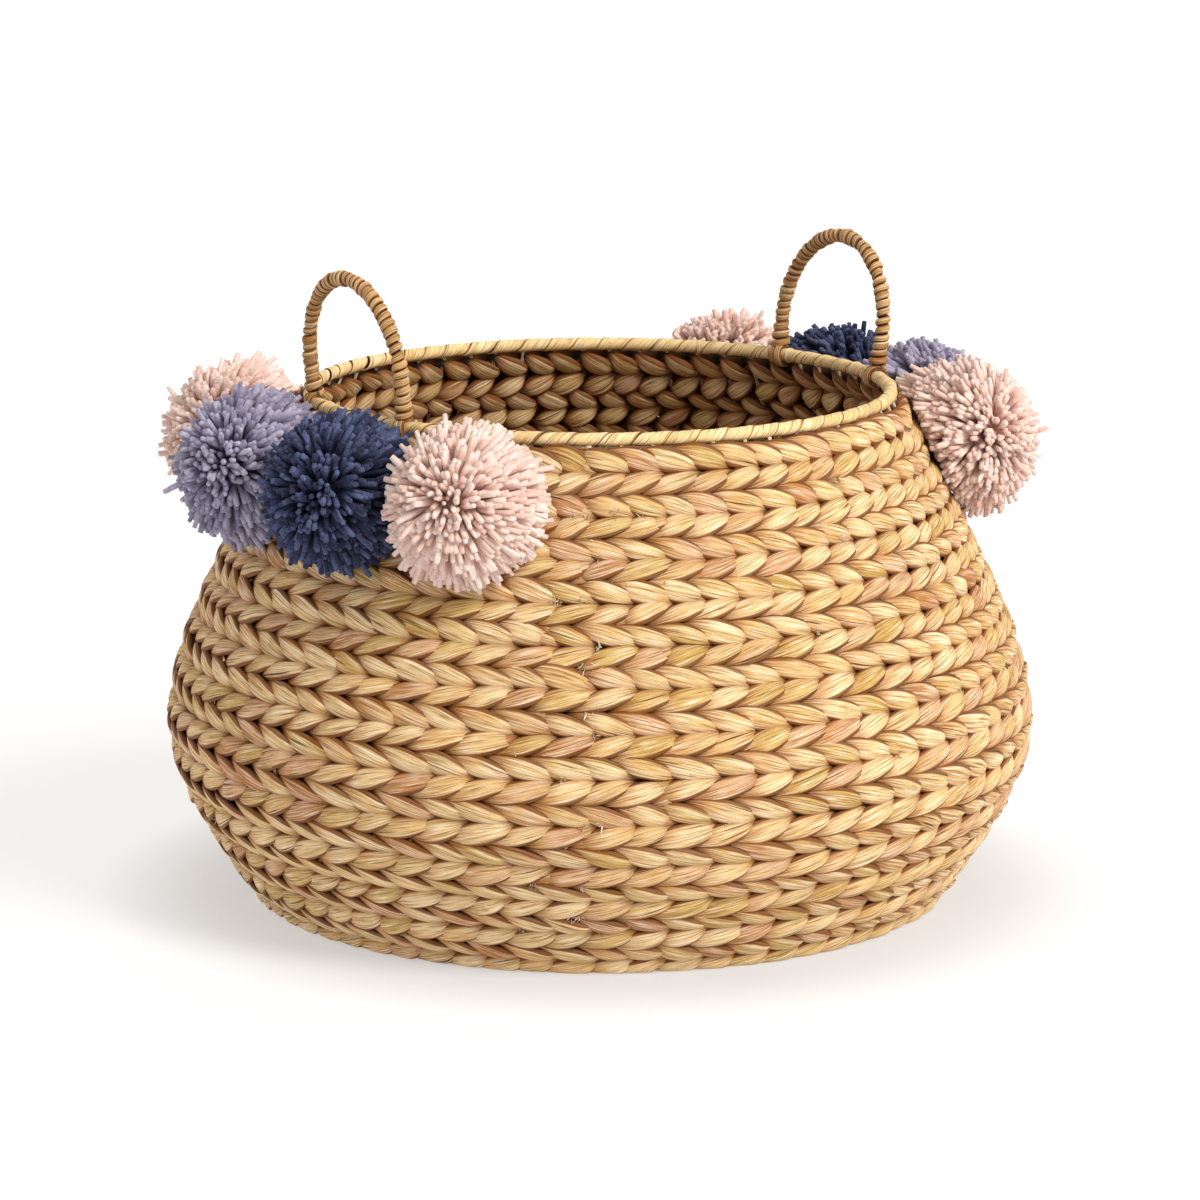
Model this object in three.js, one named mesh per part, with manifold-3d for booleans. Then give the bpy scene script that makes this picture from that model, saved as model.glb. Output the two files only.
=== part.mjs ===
// A round-bellied woven basket: thirteen woven courses stacked on a ringed base, a wrapped wire rim lashed
// to the top course, two cord-wrapped handles that fold about the rim, and eight yarn pompoms tied to it.
// Millimetres, +Z up. The origin is the middle of the base, on the floor. Handle A stands over +X, handle B
// over -X.
import * as THREE from "three";
import { mergeVertices } from "three/addons/utils/BufferGeometryUtils.js";
import Module from "manifold-3d";

// Wall: the middle of the weave's thickness, from the floor to the top edge, as (radius, height). A course
// stands for two woven rows that slant opposite ways.
const WALL_POINTS = [
  [174, 0.9],
  [198.5, 37],
  [215.5, 70],
  [219, 101],
  [210.5, 135],
  [193, 175],
  [172, 217],
  [153.2, 255],
];
const COURSE_COUNT = 13;
const WEAVE_HALF_THICKNESS = 6.5;
const COURSE_FACE_SHARE = 0.44;
const COURSE_GAP = 0.8;
const COURSE_SEGMENTS = 36;

// Base: flat rings of the same weave round a small disc, all lying on the floor.
const BASE_OUTER_RADIUS = 171.3;
const BASE_THICKNESS = 11;
const BASE_RING_COUNT = 7;
const BASE_RING_PITCH = 21.6;

// Rim: a wire hoop inside a wrapped strip, just above the top course.
const RIM_RADIUS = 150;
const RIM_HEIGHT = 262.4;
const RIM_WIRE_RADIUS = 1.5;
const RIM_WRAP_INNER_RADIUS = 2;
const RIM_WRAP_OUTER_RADIUS = 3.5;
const RIM_SLOT_HALF_ANGLE = 20;
const RIM_SEGMENTS = 48;

// Lashings: short cords over the rim that hold it to the top course, away from the handles and pompoms. The
// drops are shares of a course, from the top edge down to the cord's ends and to its shoulders.
const LASHING_AZIMUTHS = [67.5, 82.5, 97.5, 112.5, 247.5, 262.5, 277.5, 292.5];
const LASHING_CORD_RADIUS = 0.7;
const LASHING_CLEARANCE = 0.5;
const LASHING_END_DROP = 0.5;
const LASHING_SHOULDER_DROP = 0.2;
const LASHING_SHOULDER_TUCK = 0.3;
const LASHING_STEPS = 14;

// Handles: a wire arch with an eye round the rim at each foot, wrapped with cord.
const HANDLE_FOOT_HALF_ANGLE = 16.9;
const HANDLE_LEAN_OUTWARD = 5.5;
const HANDLE_HEIGHT = 69.5;
const HANDLE_HALF_WIDTH = 45.5;
const HANDLE_SHOULDER_HEIGHT = 22;
const HANDLE_WIRE_RADIUS = 1.2;
const HANDLE_CORD_RADIUS = 3.7;
const HANDLE_CORD_BORE = 2;
const HANDLE_CORD_START = 12.6;
const FOOT_BINDING_RADIUS = 5;
const FOOT_BINDING_START = 7.2;
const FOOT_BINDING_LENGTH = 5;
const HANDLE_STEPS = 24;
const HALF_ELLIPSE_POINTS = 8;

// The eye that a handle's foot or a pompom's tie makes round the rim.
const EYE_RADIUS = 5.4;
const EYE_WIRE_RADIUS = 0.85;

// Pompoms: a yarn ball squashed against the wall, hung from the rim by a tie.
const POMPOM_RADIUS = 35;
const POMPOM_RING_RADIUS = 188.6;
const POMPOM_HEIGHT = 235;
const POMPOM_WALL_CLEARANCE = 1.5;
const TIE_DROP_ANGLE = 20;
const TIE_GAP = 0.5;
const WALL_CUT_SHARES = [0.6, 0.7, 0.8, 0.9, 0.985];
const WALL_CUT_FLOOR = 150;

const STRAW = 0xd9ad72;
const DARK_STRAW = 0xb98b52;
const STEEL = 0x8c8c8c;
const PINK = 0xddbab5;
const NAVY = 0x4b5479;
const LAVENDER = 0xa8a3bf;

// The two sides of the basket: each has a handle and four pompoms, at azimuths from the handle's middle.
const SIDES = [
  { name: "a", azimuth: 0, pompomOffsets: [36, 14.5, -7.5, -29.5] },
  { name: "b", azimuth: 180, pompomOffsets: [37, 15.5, -9, -37] },
];
const POMPOM_NAMES = ["pink_left", "navy", "lavender", "pink_right"];
const POMPOM_COLOURS = [PINK, NAVY, LAVENDER, PINK];

const wasm = await Module();
wasm.setup();
const radians = THREE.MathUtils.degToRad;

function mesh(name, geometry, colour, roughness, metalness = 0) {
  const material = new THREE.MeshStandardMaterial({ color: colour, roughness, metalness });
  const made = new THREE.Mesh(geometry, material);
  made.name = name;
  return made;
}

// A closed (radius, height) outline turned about the Z axis.
function turned(outline, segments) {
  const profile = outline.map(([radius, height]) => new THREE.Vector2(radius, height));
  return new THREE.LatheGeometry([...profile, profile[0].clone()], segments).rotateX(Math.PI / 2);
}

function polygon(radius, sides) {
  const points = [];
  for (let i = 0; i < sides; i++) {
    const angle = (2 * Math.PI * (i + 0.5)) / sides;
    points.push(new THREE.Vector2(radius * Math.cos(angle), radius * Math.sin(angle)));
  }
  return points;
}

// A section carried along a curve, with an optional bore right through it.
function swept(curve, steps, section, bore) {
  const shape = new THREE.Shape(section);
  if (bore) shape.holes.push(new THREE.Path(bore));
  return new THREE.ExtrudeGeometry(shape, { steps, extrudePath: curve, bevelEnabled: false });
}

function solidOf(geometry) {
  const bare = geometry.clone();
  bare.deleteAttribute("normal");
  bare.deleteAttribute("uv");
  const merged = mergeVertices(bare, 1e-4);
  const vertProperties = merged.attributes.position.array;
  const triVerts = new Uint32Array(merged.index.array);
  return new wasm.Manifold(new wasm.Mesh({ numProp: 3, vertProperties, triVerts }));
}

function geometryOf(solid) {
  const result = solid.getMesh();
  const geometry = new THREE.BufferGeometry();
  geometry.setAttribute("position", new THREE.BufferAttribute(result.vertProperties, result.numProp));
  geometry.setIndex(new THREE.BufferAttribute(result.triVerts, 1));
  return geometry;
}

function joined(geometries) {
  return geometryOf(geometries.map(solidOf).reduce((sum, solid) => sum.add(solid)));
}

const wallKnots = WALL_POINTS.map(([radius, height]) => new THREE.Vector2(radius, height));
const wallCurve = new THREE.SplineCurve(wallKnots);

// A point of the wall: `along` runs 0 to 1 from floor to top edge, `out` is the distance out from the
// weave's middle.
function wallPoint(along, out) {
  const middle = wallCurve.getPointAt(along);
  const tangent = wallCurve.getTangentAt(along);
  return [middle.x + out * tangent.y, middle.y - out * tangent.x];
}

// One woven course, flat-hexagonal in section: COURSE_FACE_SHARE of its height is at full thickness.
function course(index) {
  const pitch = 1 / COURSE_COUNT;
  const gap = COURSE_GAP / wallCurve.getLength();
  const bottom = index * pitch + gap / 2;
  const top = (index + 1) * pitch - gap / 2;
  const slope = ((1 - COURSE_FACE_SHARE) / 2) * (top - bottom);
  const lower = bottom + slope;
  const upper = top - slope;
  const outline = [
    wallPoint(bottom, 0),
    wallPoint(lower, WEAVE_HALF_THICKNESS),
    wallPoint(upper, WEAVE_HALF_THICKNESS),
    wallPoint(top, 0),
    wallPoint(upper, -WEAVE_HALF_THICKNESS),
    wallPoint(lower, -WEAVE_HALF_THICKNESS),
  ];
  const number = String(index + 1).padStart(2, "0");
  return mesh("course_" + number, turned(outline, COURSE_SEGMENTS), STRAW, 0.75);
}

// One flat ring of the base; index 0 is the outermost, and the last index gives the disc in the middle.
function baseRing(index) {
  const outer = BASE_OUTER_RADIUS - index * BASE_RING_PITCH;
  if (index === BASE_RING_COUNT) {
    const disc = new THREE.CylinderGeometry(outer, outer, BASE_THICKNESS, COURSE_SEGMENTS);
    const centre = mesh("base_centre", disc.rotateX(Math.PI / 2), STRAW, 0.8);
    centre.position.z = BASE_THICKNESS / 2;
    return centre;
  }
  const inner = outer - BASE_RING_PITCH + COURSE_GAP;
  const outline = [
    [inner, 0],
    [outer, 0],
    [outer, BASE_THICKNESS],
    [inner, BASE_THICKNESS],
  ];
  return mesh("base_ring_" + (index + 1), turned(outline, COURSE_SEGMENTS), STRAW, 0.8);
}

function rimWire() {
  const outline = polygon(RIM_WIRE_RADIUS, 5).map((p) => [RIM_RADIUS + p.x, RIM_HEIGHT + p.y]);
  return mesh("rim_wire", turned(outline, RIM_SEGMENTS), STEEL, 0.4, 1);
}

// The strip round the wire, as a C open at the bottom where its edges meet.
function rimWrap() {
  const pointOf = (radius, degrees) => [
    RIM_RADIUS + radius * Math.cos(radians(degrees)),
    RIM_HEIGHT + radius * Math.sin(radians(degrees)),
  ];
  const first = -90 + RIM_SLOT_HALF_ANGLE;
  const last = 270 - RIM_SLOT_HALF_ANGLE;
  const arc = (radius, sides) => {
    const points = [];
    for (let i = 0; i <= sides; i++) points.push(pointOf(radius, first + ((last - first) * i) / sides));
    return points;
  };
  const outline = [...arc(RIM_WRAP_OUTER_RADIUS, 6), ...arc(RIM_WRAP_INNER_RADIUS, 5).reverse()];
  return mesh("rim_wrap", turned(outline, RIM_SEGMENTS), DARK_STRAW, 0.7);
}

// A cord laid over the rim and down both faces of the top course, in the radial plane of its group.
function rimLashing(index) {
  const end = 1 - LASHING_END_DROP / COURSE_COUNT;
  const shoulder = 1 - LASHING_SHOULDER_DROP / COURSE_COUNT;
  const out = WEAVE_HALF_THICKNESS + LASHING_CORD_RADIUS + LASHING_CLEARANCE;
  const tucked = out - LASHING_SHOULDER_TUCK;
  const over = RIM_WRAP_OUTER_RADIUS + LASHING_CORD_RADIUS + LASHING_CLEARANCE;
  const path = [wallPoint(end, -out), wallPoint(shoulder, -tucked)];
  for (const degrees of [190, 140, 90, 40, -10]) {
    const angle = radians(degrees);
    path.push([RIM_RADIUS + over * Math.cos(angle), RIM_HEIGHT + over * Math.sin(angle)]);
  }
  path.push(wallPoint(shoulder, tucked), wallPoint(end, out));
  const knots = path.map(([radius, height]) => new THREE.Vector3(radius, 0, height));
  const cord = swept(new THREE.CatmullRomCurve3(knots), LASHING_STEPS, polygon(LASHING_CORD_RADIUS, 4));
  const lashing = mesh("rim_lashing_" + (index + 1), cord, STRAW, 0.8);
  lashing.rotation.z = radians(LASHING_AZIMUTHS[index]);
  return lashing;
}

// A ring in the XZ plane round the origin.
function eye() {
  return new THREE.TorusGeometry(EYE_RADIUS, EYE_WIRE_RADIUS, 5, 12).rotateX(Math.PI / 2);
}

// The arch in its own YZ plane: feet at Y = +-footHalfSpan on the rim's middle line, top at HANDLE_HEIGHT.
function archCurve(footHalfSpan, startHeight) {
  const points = [new THREE.Vector3(0, -footHalfSpan, startHeight)];
  for (let i = 0; i <= HALF_ELLIPSE_POINTS; i++) {
    const angle = Math.PI - (Math.PI * i) / HALF_ELLIPSE_POINTS;
    const height = HANDLE_SHOULDER_HEIGHT + (HANDLE_HEIGHT - HANDLE_SHOULDER_HEIGHT) * Math.sin(angle);
    points.push(new THREE.Vector3(0, HANDLE_HALF_WIDTH * Math.cos(angle), height));
  }
  points.push(new THREE.Vector3(0, footHalfSpan, startHeight));
  return new THREE.CatmullRomCurve3(points);
}

function handleWire(name, footHalfSpan) {
  const arch = swept(archCurve(footHalfSpan, EYE_RADIUS), HANDLE_STEPS, polygon(HANDLE_WIRE_RADIUS, 5));
  const eyes = [-1, 1].map((side) => eye().translate(0, side * footHalfSpan, 0));
  return mesh(name + "_wire", joined([arch, ...eyes]), STEEL, 0.4, 1);
}

// How far out a leg's middle line is at a height between the foot and the shoulder.
function legOffset(footHalfSpan, height) {
  const share = (height - EYE_RADIUS) / (HANDLE_SHOULDER_HEIGHT - EYE_RADIUS);
  return footHalfSpan + (HANDLE_HALF_WIDTH - footHalfSpan) * share;
}

function handleCord(name, footHalfSpan) {
  const curve = archCurve(legOffset(footHalfSpan, HANDLE_CORD_START), HANDLE_CORD_START);
  const section = polygon(HANDLE_CORD_RADIUS, 8);
  const cord = swept(curve, HANDLE_STEPS, section, polygon(HANDLE_CORD_BORE, 6));
  return mesh(name + "_cord_wrap", cord, DARK_STRAW, 0.75);
}

// A sleeve of strip round the lowest part of one leg; `side` is 1 or -1 along Y.
function footBinding(name, footHalfSpan, side) {
  const start = FOOT_BINDING_START;
  const end = start + FOOT_BINDING_LENGTH;
  const bottom = new THREE.Vector3(0, side * legOffset(footHalfSpan, start), start);
  const top = new THREE.Vector3(0, side * legOffset(footHalfSpan, end), end);
  const section = polygon(FOOT_BINDING_RADIUS, 8);
  const sleeve = swept(new THREE.LineCurve3(bottom, top), 1, section, polygon(HANDLE_CORD_BORE, 6));
  return mesh(name, sleeve, DARK_STRAW, 0.85);
}

// The group's origin is the hinge line, midway between the feet, so a turn about its own Y folds the handle.
function handle(side) {
  const name = "handle_" + side.name;
  const footHalfSpan = RIM_RADIUS * Math.sin(radians(HANDLE_FOOT_HALF_ANGLE));
  const hingeRadius = RIM_RADIUS * Math.cos(radians(HANDLE_FOOT_HALF_ANGLE));
  const upright = new THREE.Group();
  upright.add(handleWire(name, footHalfSpan));
  upright.add(handleCord(name, footHalfSpan));
  upright.add(footBinding(name + "_foot_binding_left", footHalfSpan, 1));
  upright.add(footBinding(name + "_foot_binding_right", footHalfSpan, -1));
  upright.position.set(hingeRadius, 0, RIM_HEIGHT);
  upright.rotation.y = radians(HANDLE_LEAN_OUTWARD);
  const placed = new THREE.Group();
  placed.rotation.z = radians(side.azimuth);
  placed.add(upright);
  return placed;
}

// The upper wall's outer face, grown by the pompoms' clearance: what the yarn balls are squashed against.
function wallBehindPompoms() {
  const out = WEAVE_HALF_THICKNESS + POMPOM_WALL_CLEARANCE;
  const face = WALL_CUT_SHARES.map((along) => wallPoint(along, out));
  const outline = [[0, WALL_CUT_FLOOR], ...face, [0, face.at(-1)[1]]];
  const profile = outline.map(([radius, height]) => new THREE.Vector2(radius, height));
  return solidOf(new THREE.LatheGeometry(profile, COURSE_SEGMENTS).rotateX(Math.PI / 2));
}

function pompomBall(name, azimuth, colour, wall) {
  const ball = new THREE.IcosahedronGeometry(POMPOM_RADIUS, 3)
    .translate(POMPOM_RING_RADIUS, 0, POMPOM_HEIGHT)
    .rotateZ(radians(azimuth));
  return mesh(name + "_ball", geometryOf(solidOf(ball).subtract(wall)), colour, 0.95);
}

// A loop round the rim and a short neck down to the ball.
function pompomTie(name, azimuth, colour) {
  const drop = radians(TIE_DROP_ANGLE);
  const outward = new THREE.Vector3(Math.cos(drop), 0, -Math.sin(drop));
  const toBall = new THREE.Vector3(POMPOM_RING_RADIUS - RIM_RADIUS, 0, POMPOM_HEIGHT - RIM_HEIGHT);
  const nearest = toBall.dot(outward);
  const miss = toBall.lengthSq() - nearest * nearest;
  const length = nearest - Math.sqrt(POMPOM_RADIUS ** 2 - miss) - TIE_GAP;
  const neck = swept(
    new THREE.LineCurve3(outward.clone().multiplyScalar(EYE_RADIUS), outward.clone().multiplyScalar(length)),
    1,
    polygon(EYE_WIRE_RADIUS, 6),
  );
  const tie = mesh(name + "_tie", joined([eye(), neck]), colour, 0.95);
  const turn = radians(azimuth);
  tie.position.set(RIM_RADIUS * Math.cos(turn), RIM_RADIUS * Math.sin(turn), RIM_HEIGHT);
  tie.rotation.z = turn;
  return tie;
}

const basket = new THREE.Group();
for (let i = 0; i <= BASE_RING_COUNT; i++) basket.add(baseRing(i));
for (let i = 0; i < COURSE_COUNT; i++) basket.add(course(i));
basket.add(rimWire());
basket.add(rimWrap());
for (let i = 0; i < LASHING_AZIMUTHS.length; i++) basket.add(rimLashing(i));
const wall = wallBehindPompoms();
for (const side of SIDES) {
  basket.add(handle(side));
  side.pompomOffsets.forEach((offset, i) => {
    const name = "pompom_" + side.name + "_" + POMPOM_NAMES[i];
    basket.add(pompomBall(name, side.azimuth + offset, POMPOM_COLOURS[i], wall));
    basket.add(pompomTie(name, side.azimuth + offset, POMPOM_COLOURS[i]));
  });
}

export default basket;
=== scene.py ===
"""The looks of a woven belly basket with cord handles and yarn pompoms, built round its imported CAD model.

Every wall course is woven of separate stalks on upright stakes, the rim is a wound strip, the handles are
wound with cord and the pompoms are balls of separate yarn ends. Lengths are in metres.
"""

import math

import bpy
import numpy as np
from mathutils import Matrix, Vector


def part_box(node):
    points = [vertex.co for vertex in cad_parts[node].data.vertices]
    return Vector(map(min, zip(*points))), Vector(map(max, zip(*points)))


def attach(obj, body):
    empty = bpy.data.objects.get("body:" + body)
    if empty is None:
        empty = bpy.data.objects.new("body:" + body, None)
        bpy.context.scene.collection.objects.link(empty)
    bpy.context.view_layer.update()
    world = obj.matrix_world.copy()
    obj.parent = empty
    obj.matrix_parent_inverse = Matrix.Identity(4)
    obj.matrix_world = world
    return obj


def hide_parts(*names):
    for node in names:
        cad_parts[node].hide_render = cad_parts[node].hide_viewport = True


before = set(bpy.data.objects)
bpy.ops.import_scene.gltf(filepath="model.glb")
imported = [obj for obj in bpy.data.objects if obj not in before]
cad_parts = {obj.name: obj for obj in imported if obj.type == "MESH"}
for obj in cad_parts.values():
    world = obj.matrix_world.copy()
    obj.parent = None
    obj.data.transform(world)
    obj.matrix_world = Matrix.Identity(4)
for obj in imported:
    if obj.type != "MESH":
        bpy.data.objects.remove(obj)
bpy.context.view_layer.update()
UP = np.array([0.0, 0.0, 1.0])

# The photograph's camera, round the basket's own axes.
CAMERA_AZIMUTH = math.radians(-32.8)
CAMERA_DISTANCE = 2.68
CAMERA_HEIGHT = 0.709
CAMERA_PITCH = math.radians(11.76)
CAMERA_LENS = 157.6

# The wall is waled: in each row three flat stalks take turns to pass over two upright stakes and behind
# one. A course is two rows whose stalks slant opposite ways, so its leaves make chevrons.
STAKES_AT_RIM = 60
STAKES_AT_BELLY = 69
BELLY_RADIUS = 0.219
STAKE_RADIUS = 0.0009
STAKE_STEPS = 90
STAKE_UNEVENNESS = 0.08
COURSE_PITCH = 0.0216
ROW_PITCH = COURSE_PITCH / 2
STALKS_PER_ROW = 3
STEPS_PER_STAKE = 10
STALK_SIDES = 14
LEAVES_PER_STALK = 7

# One stalk's way through a row, by stakes passed since the middle of its outer leaf: it comes out of the
# wall at -0.9, dives back in at 0.9 and is in the middle of its inner leaf at 1.5. Over is along the
# wall's height, out is away from the wall's middle surface, and gold is how far the colour turns to the
# golden brown of a leaf's root: partly the stalk's own colour, partly painted shade where it dives in.
STALK_KEYS = np.array([-0.9, -0.45, 0.0, 0.5, 0.9, 1.2, 1.5, 1.8])
STALK_OVER = np.array([-4.6, -2.3, 0.0, 2.7, 4.5, 2.4, 0.0, -2.6]) / 1000
STALK_OUT = np.array([0.6, 3.0, 3.6, 3.3, 0.2, -2.7, -3.3, -2.9]) / 1000
STALK_HALF_WIDTH = np.array([1.9, 4.9, 5.95, 4.5, 1.4, 4.5, 5.8, 4.7]) / 1000
STALK_HALF_THICKNESS = np.array([1.3, 1.8, 2.2, 1.8, 1.2, 2.0, 2.4, 2.0]) / 1000
STALK_TILT = np.radians([4, 9, 12, 16, 6, -12, -14, -11])
STALK_GOLD = np.array([1.0, 0.62, 0.12, 0.0, 0.75, 0.15, 0.1, 0.6])

# How much single leaves differ: lengths in metres, the others as shares or radians.
LEAF_OVER_WAVER = 0.0007
LEAF_OUT_SHARE = 0.17
LEAF_WIDTH_SHARE = 0.14
LEAF_THICKNESS_SHARE = 0.12
LEAF_TILT_SHARE = 0.35
LEAF_TILT_WAVER = 0.05
LEAF_SHIFT = 0.0018
TONE_MIDDLE = 0.48
STALK_TONE_RANGE = 0.27
LEAF_TONE_RANGE = 0.25

# Row ends, the top course and the torn fibres.
TOP_COURSE_LIFT = 0.0008
TOP_COURSE_SCALE = 1.09
TOP_ROW_WAVER = 0.0015
ROW_WAVER = 0.0006
SEAM_AZIMUTH = math.radians(235)
SEAM_OVERLAP = 1.2
SEAM_TUCK = 0.0030
FRAYS_AT_SEAM = 3
FRAYS_ELSEWHERE = 5
FIBRES_PER_FRAY = 7
FRAY_SPREAD = 0.07
FRAY_LIFT = 0.0028
FRAY_SHORTEST = 0.0022
FRAY_LONGEST = 0.0046
FRAY_HALF_WIDTH = 0.00055
FRAY_HALF_THICKNESS = 0.00016

# The base: its rows lie flat and face down. These are its leaves, the radii of its two innermost rows, and
# where its middle line runs.
BASE_ACROSS = np.array([1.0, 0.0])
BASE_OUTWARD = np.array([0.0, -1.0])
BASE_LEAF_LENGTH = 0.019
BASE_START_OUTER = 0.0142
BASE_START_INNER = 0.0050
BASE_FLAT_RADII = (0.022, 0.06, 0.12)
BASE_EDGE_RADIUS = 0.166
BASE_EDGE_RISE = 0.001
REST_HEIGHT = 0.0015

# The rim: a strip wound round a wire hoop. Its spans are shares of the way from one turn to the next.
RIM_RADIUS = 0.150
RIM_HEIGHT = 0.2624
RIM_TURNS = 63
RIM_CORE_RADIUS = 0.0029
RIM_STRIP_STEP = 0.0005
STRIP_STEPS_PER_TURN = 18
STRIP_HALF_SPAN = 0.54
STRIP_EDGE_SPAN = 0.06
STRIP_THICKNESS = 0.00036
STRIP_CROWN = 0.00022
STRIP_RIPPLE = 0.00012
STRIP_WIDTH = 0.0125
STRIP_TURN_LENGTH = 0.026
RIPPLE_FADE_STEPS = 60

# Handles: cord wound over a wire arch, and round the rim at both feet.
HANDLE_FOOT_ANGLE = math.radians(16.9)
HANDLE_HEIGHT = 0.0695
HANDLE_HALF_WIDTH = 0.0455
HANDLE_SHOULDER = 0.022
HANDLE_LEAN = math.radians(5.5)
HANDLE_SWAY = {"a": -0.005, "b": 0.0}
FOOT_FLARE = 0.55
FOOT_FLARE_LENGTH = 0.007
CORD_PITCH = 0.0042
CORD_HELIX_RADIUS = 0.0025
CORD_HALF_WIDTH = 0.0021
CORD_HALF_THICKNESS = 0.0014
FOOT_HELIX_RADIUS = 0.0047
FOOT_LENGTH = 0.0066
FOOT_TURNS = 2.6
HANDLE_START = 0.0050
HANDLE_CORE_RADIUS = 0.0019
CORD_STEPS_PER_TURN = 18
CORD_UNEVENNESS = 0.00055

# Pompoms.
POMPOM_RADIUS = 0.0365
POMPOM_CORE_RADIUS = 0.024
POMPOM_CORE_DEPTH = 0.0105
POMPOM_CORE_LEAST = 0.002
YARN_RADIUS = 0.00138
YARNS_PER_POMPOM = 2300
YARN_STEPS = 6
PARTING_LEAN = 0.62
PARTING_RISE = 0.35
YARN_OFFCUT = 0.004
LONG_YARN_SHARE = 0.04
SHORT_YARN_SHARE = 0.15
TIE_RADIUS = 0.00035
TIE_CLEARANCE = 0.0004
WALL_GAP = 0.001
WALL_HALF_THICKNESS = 0.0065
WALL_TOP = RIM_HEIGHT - 0.004
NEIGHBOUR_SHARE = 0.51

# Light.
WORLD_STRENGTH = 0.68
KEY_STRENGTH = 2.85
FLOOR_GLOW = 0.69
# The floor glows less near the basket: a painted contact shadow.
CONTACT_GLOW = 0.48
CONTACT_DISTANCE = 0.07


# ---------------------------------------------------------------- mesh tools

def unit(vectors):
    return vectors / np.maximum(np.linalg.norm(vectors, axis=-1, keepdims=True), 1e-12)


def directions_at(turn):
    """The outward and the anticlockwise direction at each azimuth round the basket's axis."""
    radial = np.stack([np.cos(turn), np.sin(turn), np.zeros_like(turn)], axis=-1)
    tangent = np.stack([-np.sin(turn), np.cos(turn), np.zeros_like(turn)], axis=-1)
    return radial, tangent


def travelled(points):
    """The distance covered at each of a line's points."""
    gaps = np.linalg.norm(np.diff(points, axis=0), axis=1)
    return np.concatenate([[0], np.cumsum(gaps)])


def eased(share):
    return share * share * (3 - 2 * share)


def build_mesh(name, vertices, quads, caps, floats, vectors, material):
    """A smooth-shaded mesh object from arrays, with float and vector attributes on its points."""
    mesh = bpy.data.meshes.new(name)
    mesh.vertices.add(len(vertices))
    mesh.vertices.foreach_set("co", vertices.astype(np.float32).ravel())
    cap_size = caps.shape[1] if len(caps) else 0
    corners = np.concatenate([quads.ravel(), caps.ravel()]) if len(caps) else quads.ravel()
    starts = np.arange(len(quads)) * 4
    sizes = np.full(len(quads), 4)
    if len(caps):
        starts = np.concatenate([starts, len(quads) * 4 + np.arange(len(caps)) * cap_size])
        sizes = np.concatenate([sizes, np.full(len(caps), cap_size)])
    mesh.loops.add(len(corners))
    mesh.loops.foreach_set("vertex_index", corners.astype(np.int32))
    mesh.polygons.add(len(starts))
    mesh.polygons.foreach_set("loop_start", starts.astype(np.int32))
    mesh.polygons.foreach_set("loop_total", sizes.astype(np.int32))
    for attribute, values in floats.items():
        layer = mesh.attributes.new(attribute, "FLOAT", "POINT")
        layer.data.foreach_set("value", values.astype(np.float32).ravel())
    for attribute, values in vectors.items():
        layer = mesh.attributes.new(attribute, "FLOAT_VECTOR", "POINT")
        layer.data.foreach_set("vector", values.astype(np.float32).ravel())
    mesh.update(calc_edges=True)
    mesh.validate()
    mesh.shade_smooth()
    mesh.materials.append(material)
    piece = bpy.data.objects.new(name, mesh)
    bpy.context.scene.collection.objects.link(piece)
    return piece


def skin(name, grid, fibre, floats, material, closed=False):
    """One mesh of many tubes.

    grid and fibre are (tubes, steps, sides, 3); each float is (tubes, steps, sides).
    """
    tubes, steps, sides, _ = grid.shape
    index = np.arange(tubes * steps * sides).reshape(tubes, steps, sides)
    turned = np.roll(index, -1, axis=2)
    if closed:
        here, here_turned = index, turned
        ahead, ahead_turned = np.roll(index, -1, axis=1), np.roll(turned, -1, axis=1)
        caps = np.zeros((0, sides), int)
    else:
        here, here_turned = index[:, :-1], turned[:, :-1]
        ahead, ahead_turned = index[:, 1:], turned[:, 1:]
        caps = np.concatenate([index[:, 0, ::-1], index[:, -1]])
    quads = np.stack([here, here_turned, ahead_turned, ahead], axis=-1).reshape(-1, 4)
    return build_mesh(name, grid.reshape(-1, 3), quads, caps, floats, {"fibre": fibre}, material)


def tube_grid(centres, widths, normals, half_width, half_thickness, sides, flatness=1.0,
              first_number=0):
    """Points and fibre directions of many tubes with flattened sections.

    centres, widths and normals are (tubes, steps, 3), the sizes (tubes, steps). The fibre attribute is the
    distance along and across each tube and the tube's number, for the grain.
    """
    tubes, steps, _ = centres.shape
    angle = 2 * math.pi * np.arange(sides) / sides
    across = np.cos(angle)
    rise = np.sign(np.sin(angle)) * np.abs(np.sin(angle)) ** flatness
    grid = (centres[:, :, None]
            + (half_width[..., None] * across)[..., None] * widths[:, :, None]
            + (half_thickness[..., None] * rise)[..., None] * normals[:, :, None])
    gaps = np.linalg.norm(np.diff(centres, axis=1), axis=-1)
    along = np.concatenate([np.zeros((tubes, 1)), np.cumsum(gaps, axis=1)], axis=1)
    shape = (tubes, steps, sides)
    number = np.arange(tubes) + first_number
    fibre = np.stack([
        np.broadcast_to(along[..., None], shape),
        np.broadcast_to(across * half_width.max(), shape),
        np.broadcast_to(number[:, None, None] + 0.37 * (rise < 0), shape),
    ], axis=-1)
    return grid, fibre


def swept_tubes(name, centres, widths, normals, half_width, half_thickness, sides, material, floats,
                **settings):
    """One mesh of many tubes, with one value of each float per step."""
    grid, fibre = tube_grid(centres, widths, normals, half_width, half_thickness, sides, **settings)
    spread = {key: np.broadcast_to(values[..., None], grid.shape[:3]) for key, values in floats.items()}
    return skin(name, grid, fibre, spread, material)


def stalk_floats(tone, root=0.0, lift=1.0):
    """The values that a stalk material reads, for tubes that lie clear of the weave: a lift of 1 gives them
    no painted shade.
    """
    return {"tone": tone, "root": np.full(tone.shape, root), "lift": np.full(tone.shape, lift)}


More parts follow.
